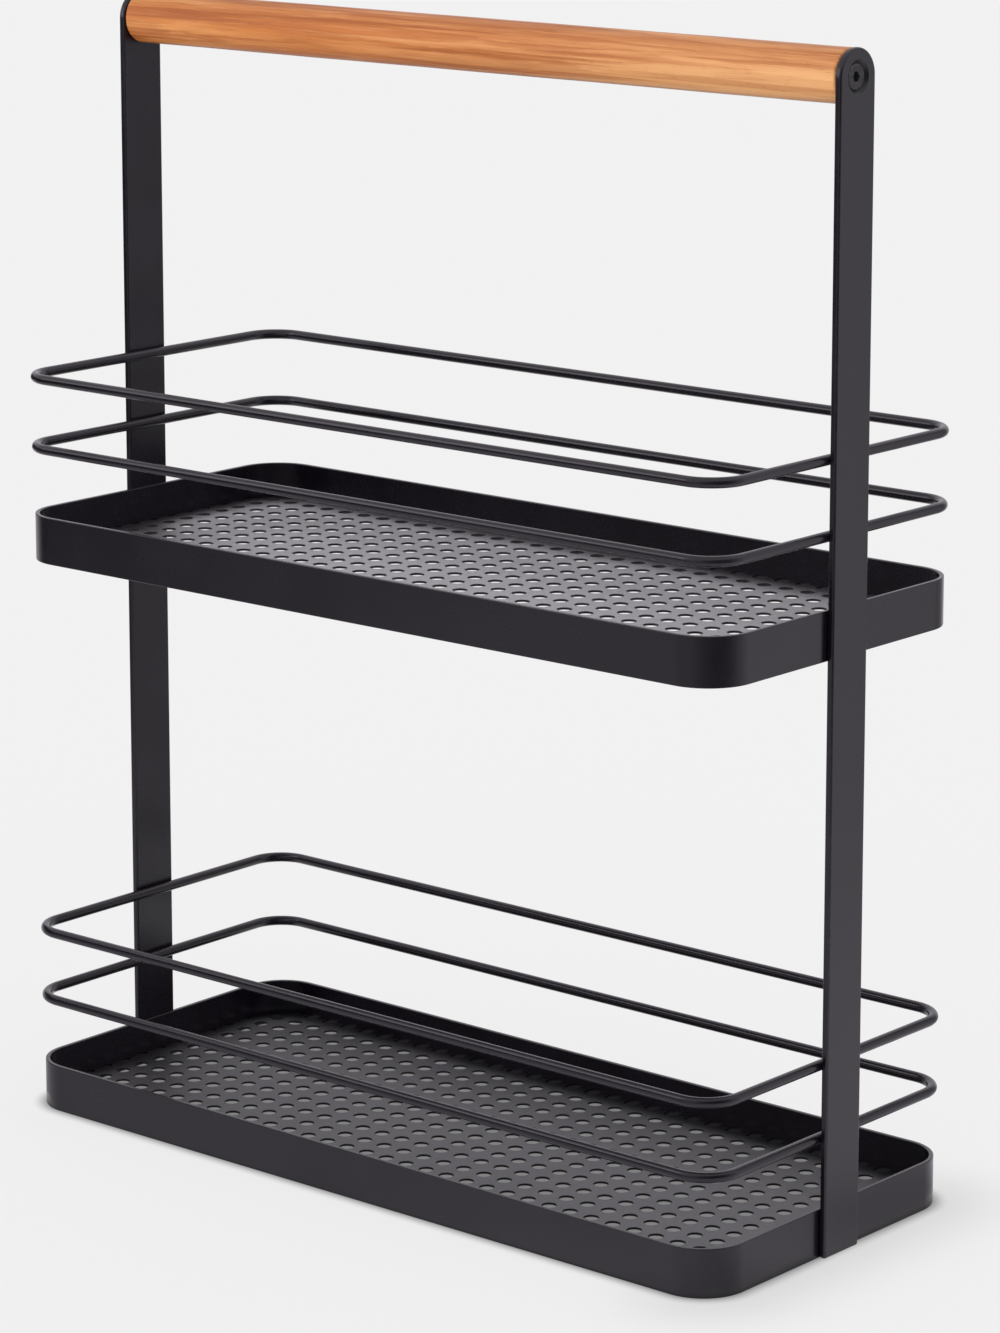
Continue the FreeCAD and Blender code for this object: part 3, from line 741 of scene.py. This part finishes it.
# ---------------------------------------------------------------------------
# Handle dowel
# ---------------------------------------------------------------------------
def dowel():
    half, r, f = d_hi[0], HANDLE_R, 0.9
    rb, depth = 4.03, 15.5
    prof = [(-half + depth, 0.0, -1.0, 0.0), (-half + depth, rb - 0.05, -1.0, 0.0),
            (-half + depth - 0.05, rb, 0.0, -1.0), (-half + 0.2, rb, 0.0, -1.0), (-half, rb + 0.2, -1.0, 0.0)]
    for i in range(7):
        a = math.pi / 2 * i / 6
        prof.append((-half + f - f * math.cos(a), r - f + f * math.sin(a), -math.cos(a), math.sin(a)))
    steps = 60
    for i in range(1, steps):
        x = (-half + f) + (2 * half - 2 * f) * i / steps
        # a turned and sanded rod is never quite even
        wave = 0.020 * math.sin(x * 0.071 + 0.6) + 0.012 * math.sin(x * 0.19 + 2.1) - 0.030
        prof.append((x, r + wave, 0.0, 1.0))
    prof += [(-x, rr, -nx, nr) for x, rr, nx, nr in reversed(prof[:12])]
    seg = 96
    s = Shell()
    rows = []
    for x, rr, nx, nr in prof:
        if rr == 0.0:
            rows.append([s.add((x, 0.0, HANDLE_Z), (nx, 0, 0))] * seg)
            continue
        rows.append([s.add((x, rr * math.cos(2 * math.pi * k / seg), HANDLE_Z + rr * math.sin(2 * math.pi * k / seg)),
                           (nx, nr * math.cos(2 * math.pi * k / seg), nr * math.sin(2 * math.pi * k / seg)))
                     for k in range(seg)])
    for a, b in zip(rows, rows[1:]):
        for k in range(seg):
            n = (k + 1) % seg
            face = [a[k], b[k], b[n], a[n]]
            face = [v for i, v in enumerate(face) if v not in face[:i]]
            s.faces.append(tuple(face))
    # faces above run the wrong way round for a profile that starts inside the left bore
    s.faces = [tuple(reversed(f)) for f in s.faces]
    s.make("handle_dowel_turned", "handle_dowel", "handle", "handle_wood", WOOD)


dowel()


# ---------------------------------------------------------------------------
# Countersunk screws with a hex socket
# ---------------------------------------------------------------------------
def screw():
    lo, hi = box_mm("right_handle_screw")
    xt = hi[0]
    af, depth = 3.0, 1.7
    rt, rh, e = 3.95, 4.2, 0.25
    rs = 2.45
    n = 48
    s = Shell()

    def ring(r, x, nr, nx, mark=0.0, hexa=0.0):
        """hexa 1 gives the hexagon of the socket, 0 a circle."""
        out = []
        for k in range(n):
            a = 2 * math.pi * k / n
            c = math.cos(a)
            q = math.sin(a)
            # distance to a hexagon with its corners at 0, 60, ... degrees
            b = (a + math.pi / 6) % (math.pi / 3) - math.pi / 6
            across = (a % (math.pi / 3)) - math.pi / 6
            rad = r * (1 - hexa) + hexa * (r / math.cos(across))
            out.append(s.add((x, rad * c, HANDLE_Z + rad * q), (nx, nr * c, nr * q), mark))
        return out

    def join(a, b):
        for k in range(n):
            m = (k + 1) % n
            s.faces.append((a[k], a[m], b[m], b[k]))

    rings = []
    # from the tip, round the outside, over the head and down the socket
    tip = lo[0]
    rings.append(ring(rs - 0.6, tip, 0.3, -0.95))
    rings.append(ring(rs, tip + 0.6, 1.0, -0.2))
    rings.append(ring(rs, xt - e - (rh - rs) - 0.15, 1.0, 0.0))
    rings.append(ring(rs + 0.05, xt - e - (rh - rs), 0.9, -0.4))
    rings.append(ring(rh - 0.04, xt - e - 0.04, 0.71, -0.71))
    rings.append(ring(rh, xt - e + 0.03, 1.0, 0.0, 1.0))
    rings.append(ring(rh - 0.06, xt - 0.16, 0.9, 0.45, 1.0))
    rings.append(ring(rt, xt - 0.03, 0.6, 0.8, 1.0))
    rings.append(ring(rt - 0.16, xt, 0.0, 1.0, 0.3))
    # faint turning rings on the flat of the head
    for i in range(1, 6):
        rr = (rt - 0.16) + (2.05 - (rt - 0.16)) * i / 6
        rings.append(ring(rr, xt - (0.012 if i % 2 else 0.0), 0.0, 1.0))
    rings.append(ring(2.0, xt, 0.0, 1.0))
    ai = af / 2
    rings.append(ring(ai + 0.14, xt, 0.0, 1.0, 0.4, 1.0))
    rings.append(ring(ai + 0.04, xt - 0.04, -0.7, 0.7, 1.0, 1.0))
    rings.append(ring(ai, xt - 0.14, -1.0, 0.1, 0.4, 1.0))
    rings.append(ring(ai, xt - depth + 0.12, -1.0, 0.0, 0.0, 1.0))
    rings.append(ring(ai - 0.10, xt - depth, -0.2, 0.95, 0.0, 1.0))
    rings.append(ring(0.8, xt - depth - 0.08, 0.0, 1.0))
    # the faces of each ring pair point away from the steel
    for a, b in zip(rings, rings[1:]):
        for k in range(n):
            m = (k + 1) % n
            s.faces.append((a[k], a[m], b[m], b[k]))
    c0 = s.add((tip, 0.0, HANDLE_Z), (-1, 0, 0))
    c1 = s.add((xt - depth - 0.18, 0.0, HANDLE_Z), (1, 0, 0))
    for k in range(n):
        m = (k + 1) % n
        s.faces.append((c0, rings[0][m], rings[0][k]))
        s.faces.append((rings[-1][k], rings[-1][m], c1))
    return s


bolt = screw()
bolt.make("right_handle_screw_steel", "right_handle_screw", "handle", "screw_black", SCREW)
bolt.mirrored(0).make("left_handle_screw_steel", "left_handle_screw", "handle", "screw_black", SCREW)

for node in ("left_threaded_insert", "right_threaded_insert"):
    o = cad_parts[node]
    for sl in o.material_slots:
        sl.material = BRASS
    if not o.material_slots:
        o.data.materials.append(BRASS)

# ---------------------------------------------------------------------------
# Pale floor, studio light and camera
# ---------------------------------------------------------------------------
floor_mesh = bpy.data.meshes.new("studio_floor")
ring_pts = [(14.0 * math.cos(2 * math.pi * k / 96), 14.0 * math.sin(2 * math.pi * k / 96), 0.0) for k in range(96)]
floor_mesh.from_pydata(ring_pts, [], [tuple(range(96))])
floor_obj = bpy.data.objects.new("studio_floor", floor_mesh)
scene.collection.objects.link(floor_obj)
fm = Nodes("studio_floor")
fm.bsdf.inputs["Base Color"].default_value = (0.13, 0.13, 0.13, 1.0)
fm.bsdf.inputs["Roughness"].default_value = 0.9
fm.bsdf.inputs["Specular IOR Level"].default_value = 0.0
# a table that glows a little, with a painted shadow: it glows less under and around the tray
fp = fm.new("ShaderNodeSeparateXYZ")
fm.link(fm.coords(), fp.inputs[0])
out_x = fm.math("MAXIMUM", fm.math("SUBTRACT", fm.math("ABSOLUTE", fp.outputs[0]), 134.0), 0.0)
out_y = fm.math("MAXIMUM", fm.math("SUBTRACT", fm.math("ABSOLUTE", fp.outputs[1]), 48.0), 0.0)
outside = fm.math("SQRT", fm.math("ADD", fm.math("MULTIPLY", out_x, out_x), fm.math("MULTIPLY", out_y, out_y)))
glow = fm.math("POWER", fm.remap(outside, 14.8, 21.5, 0.0, 1.0, True), 0.7)
fm.bsdf.inputs["Emission Color"].default_value = (1.0, 1.0, 1.0, 1.0)
# painted shadow: the glow is dimmed near the tray, most on its +X side
shade = fm.remap(outside, 16.0, 66.0, 1.0, 0.0, True)
shade = fm.math("MULTIPLY", fm.math("MULTIPLY", shade, shade), fm.remap(fp.outputs[0], 105.0, 155.0, 0.0, 0.18, True))
fm.put(fm.bsdf.inputs["Emission Strength"], fm.math("MULTIPLY", fm.remap(glow, 0.0, 1.0, 0.20, 0.770), fm.math("SUBTRACT", 1.0, shade)))
floor_mesh.materials.append(fm.mat)

world = bpy.data.worlds.new("studio")
scene.world = world
world.use_nodes = True
wt = world.node_tree
wt.nodes.clear()
wo = wt.nodes.new("ShaderNodeOutputWorld")
bg = wt.nodes.new("ShaderNodeBackground")
wt.links.new(bg.outputs[0], wo.inputs["Surface"])
bg.inputs["Color"].default_value = (0.87, 0.87, 0.875, 1.0)
bg.inputs["Strength"].default_value = 1.0


def area(name, loc, target, size_x, size_y, power, colour=(1, 1, 1)):
    li = bpy.data.lights.new(name, "AREA")
    li.shape = "RECTANGLE"
    li.size, li.size_y, li.energy, li.color = size_x, size_y, power, colour
    ob = bpy.data.objects.new(name, li)
    ob.location = loc
    ob.rotation_euler = (Vector(target) - Vector(loc)).to_track_quat("-Z", "Y").to_euler()
    scene.collection.objects.link(ob)
    return ob


# soft front light for the wood alone, so the pale table keeps its even tone
wood_key = area("wood_key", (0.15, -1.7, 0.50), (0, 0, 0.36), 0.9, 0.4, 10.0)
wood_key.visible_glossy = False
lit = bpy.data.collections.new("front_lit")
lit.objects.link(bpy.data.objects["handle_dowel_turned"])
wood_key.light_linking.receiver_collection = lit

# Cards round the front of the table, which only reflections see: low dark ones, as the unlit end
# of a studio, and a soft box above them on the left.
card = Nodes("studio_card")
card.tree.nodes.remove(card.bsdf)
ce = card.new("ShaderNodeEmission")
card.link(ce.outputs[0], card.out.inputs["Surface"])
at_angle = card.new("ShaderNodeAttribute", attribute_name="turn").outputs["Fac"]
at_height = card.new("ShaderNodeAttribute", attribute_name="rise").outputs["Fac"]
dark_top = card.remap(at_angle, 5.0, 40.0, 0.30, 0.56, True)
above = card.math("DIVIDE", card.math("SUBTRACT", at_height, dark_top), 0.07, clamp=True)
# how dark the low cards are, by the angle round the table (0 is the front, 90 the right, 180 the back)
low_tone = card.ramp(card.math("DIVIDE", card.math("ADD", at_angle, 180.0), 360.0),
                     [(0.000, (0.87,) * 3), (0.250, (0.87,) * 3), (0.305, (0.06,) * 3), (0.350, (0.19,) * 3),
                      (0.390, (0.36,) * 3), (0.418, (0.64,) * 3), (0.460, (0.50,) * 3), (0.545, (0.50,) * 3),
                      (0.605, (0.24,) * 3), (0.660, (0.08,) * 3), (0.710, (0.06,) * 3), (0.745, (0.20,) * 3),
                      (0.780, (0.52,) * 3), (0.820, (0.74,) * 3), (0.872, (0.80,) * 3), (0.900, (0.38,) * 3),
                      (0.955, (0.38,) * 3), (0.985, (0.87,) * 3), (1.000, (0.87,) * 3)])
level = card.mix(above, low_tone, (0.87, 0.87, 0.87))


def soft_box(level, angles, heights, fade, strength):
    on = card.math("MULTIPLY", card.remap(at_angle, angles[0] - 8, angles[0], 0.0, 1.0, True),
                   card.remap(at_angle, angles[1], angles[1] + 8, 1.0, 0.0, True))
    on = card.math("MULTIPLY", on, card.math("MULTIPLY", card.remap(at_height, heights[0] - fade, heights[0], 0.0, 1.0, True),
                                             card.remap(at_height, heights[1], heights[1] + fade, 1.0, 0.0, True)))
    return card.mix(on, level, (strength,) * 3)


level = soft_box(level, (-54, -22), (0.40, 0.66), 0.05, 2.4)
level = soft_box(level, (-100, -12), (0.16, 0.34), 0.05, 0.06)
table_tone = card.ramp(card.math("DIVIDE", card.math("ADD", at_angle, 180.0), 360.0),
                       [(0.000, (0.80,) * 3), (0.240, (0.80,) * 3), (0.300, (0.58,) * 3), (0.400, (0.66,) * 3), (0.450, (0.62,) * 3),
                        (0.500, (0.62,) * 3), (0.600, (0.72,) * 3), (0.655, (0.82,) * 3), (0.700, (0.60,) * 3), (0.735, (0.78,) * 3),
                        (0.755, (0.72,) * 3), (0.780, (0.58,) * 3), (0.860, (0.58,) * 3), (0.885, (0.45,) * 3), (0.960, (0.45,) * 3),
                        (1.000, (0.87,) * 3)])
farther = card.remap(at_height, -1.03, -1.12, 0.0, 1.0, True)
farther = card.math("MULTIPLY", farther, card.math("MULTIPLY", card.remap(at_angle, 60.0, 75.0, 0.0, 1.0, True),
                                                   card.remap(at_angle, 133.0, 141.0, 1.0, 0.0, True)))
table_tone = card.mix(farther, table_tone, (0.87, 0.87, 0.87))
level = card.mix(card.math("LESS_THAN", at_height, -0.5), level, table_tone)
level = card.mix(1.0, level, (1.0, 0.965, 1.03), "MULTIPLY")
card.put(ce.inputs["Color"], level)
verts, faces, turn, rise = [], [], [], []
na, nh = 180, 64
for i in range(na + 1):
    t = -180.0 + 360.0 * i / na
    for j in range(nh + 1):
        hgt = 1.6 * j / nh
        verts.append((0.60 * math.sin(math.radians(t)), -0.60 * math.cos(math.radians(t)), hgt))
        turn.append(t)
        rise.append(hgt)
for i in range(na):
    for j in range(nh):
        k = i * (nh + 1) + j
        faces.append((k, k + 1, k + nh + 2, k + nh + 1))
# the part that lies on the table, from the footprint outwards
flat_start = len(verts)
n_flat = 0
for i in range(na + 1):
    t = -180.0 + 360.0 * i / na
    if t < -100.0:
        continue
    c, q = abs(math.cos(math.radians(t))), abs(math.sin(math.radians(t)))
    inner = min(0.1535 / max(q, 1e-6), 0.0650 / max(c, 1e-6))
    for rad in (inner, 0.60):
        verts.append((rad * math.sin(math.radians(t)), -rad * math.cos(math.radians(t)), 0.0004))
        turn.append(t)
        rise.append(-1.0 if rad == inner else -2.0)
    n_flat += 1
for i in range(n_flat - 1):
    k = flat_start + 2 * i
    faces.append((k, k + 2, k + 3, k + 1))
card_mesh = bpy.data.meshes.new("studio_card")
card_mesh.from_pydata(verts, [], faces)
for key, vals in (("turn", turn), ("rise", rise)):
    card_mesh.attributes.new(key, "FLOAT", "POINT").data.foreach_set("value", vals)
card_mesh.materials.append(card.mat)
card_obj = bpy.data.objects.new("studio_card", card_mesh)
scene.collection.objects.link(card_obj)
card_obj.visible_camera = False
card_obj.visible_diffuse = False
card_obj.visible_shadow = False
card_obj.visible_transmission = False

# Two soft boxes high behind the table on the left, for the sheen of the tray floors alone. They let
# the cards behind them through.
for name, radius, dim, bright, nodes in (("both_floors", 0.595, 4.7, 3.1, ("lower_tray_floor", "upper_tray_floor")),
                                         ("upper_floor", 0.590, 0.0, 7.6, ("upper_tray_floor",))):
    sheen = Nodes("studio_box_" + name)
    sheen.tree.nodes.remove(sheen.bsdf)
    turned = sheen.new("ShaderNodeAttribute", attribute_name="turn").outputs["Fac"]
    fall = sheen.new("ShaderNodeAttribute", attribute_name="soft").outputs["Fac"]
    se = sheen.new("ShaderNodeEmission")
    se.inputs["Color"].default_value = (1.0, 0.965, 1.03, 1.0)
    sheen.put(se.inputs["Strength"], sheen.math("MULTIPLY", fall, sheen.remap(turned, -156.0, -108.0, dim, bright, True)))
    st = sheen.new("ShaderNodeBsdfTransparent")
    sa = sheen.new("ShaderNodeAddShader")
    sheen.link(se.outputs[0], sa.inputs[0])
    sheen.link(st.outputs[0], sa.inputs[1])
    sheen.link(sa.outputs[0], sheen.out.inputs["Surface"])
    verts, faces, turn, soft = [], [], [], []
    na, nh = 48, 24
    for i in range(na + 1):
        t = -182.0 + 98.0 * i / na
        for j in range(nh + 1):
            hgt = 0.46 + 1.09 * j / nh
            verts.append((radius * math.sin(math.radians(t)), -radius * math.cos(math.radians(t)), hgt))
            turn.append(t)
            side = min(1.0, (t + 182.0) / 10.0, (-84.0 - t) / 10.0)
            soft.append(max(0.0, side) * max(0.0, min(1.0, (hgt - 0.46) / 0.10, (1.55 - hgt) / 0.10)))
    for i in range(na):
        for j in range(nh):
            k = i * (nh + 1) + j
            faces.append((k, k + 1, k + nh + 2, k + nh + 1))
    mesh = bpy.data.meshes.new("studio_box_" + name)
    mesh.from_pydata(verts, [], faces)
    for key, vals in (("turn", turn), ("soft", soft)):
        mesh.attributes.new(key, "FLOAT", "POINT").data.foreach_set("value", vals)
    mesh.materials.append(sheen.mat)
    box_obj = bpy.data.objects.new("studio_box_" + name, mesh)
    scene.collection.objects.link(box_obj)
    box_obj.visible_camera = box_obj.visible_diffuse = False
    box_obj.visible_shadow = box_obj.visible_transmission = False
    takes = bpy.data.collections.new("lit_by_" + name)
    for node in nodes:
        takes.objects.link(bpy.data.objects[node + "_sheet"])
    box_obj.light_linking.receiver_collection = takes

AZ, EL, F_PX, CY = 40.461, 10.818, 4628.7, 466.5
POS = (0.9711, -1.1259, 0.5176)
a, e = math.radians(AZ), math.radians(EL)
back = Vector((math.sin(a) * math.cos(e), -math.cos(a) * math.cos(e), math.sin(e)))
right = Vector((math.cos(a), math.sin(a), 0.0))
up = back.cross(right)
cam_data = bpy.data.cameras.new("camera")
cam = bpy.data.objects.new("camera", cam_data)
scene.collection.objects.link(cam)
cam.matrix_world = Matrix(((right.x, up.x, back.x, POS[0]), (right.y, up.y, back.y, POS[1]),
                           (right.z, up.z, back.z, POS[2]), (0, 0, 0, 1)))
cam_data.sensor_width = 36.0
cam_data.sensor_fit = "AUTO"
cam_data.lens = F_PX * 36.0 / 1333.0
cam_data.shift_y = (CY - 666.5) / 1333.0
cam_data.clip_start, cam_data.clip_end = 0.05, 60.0
scene.camera = cam

scene.view_settings.view_transform = "Standard"
scene.view_settings.look = "None"

bpy.context.view_layer.update()
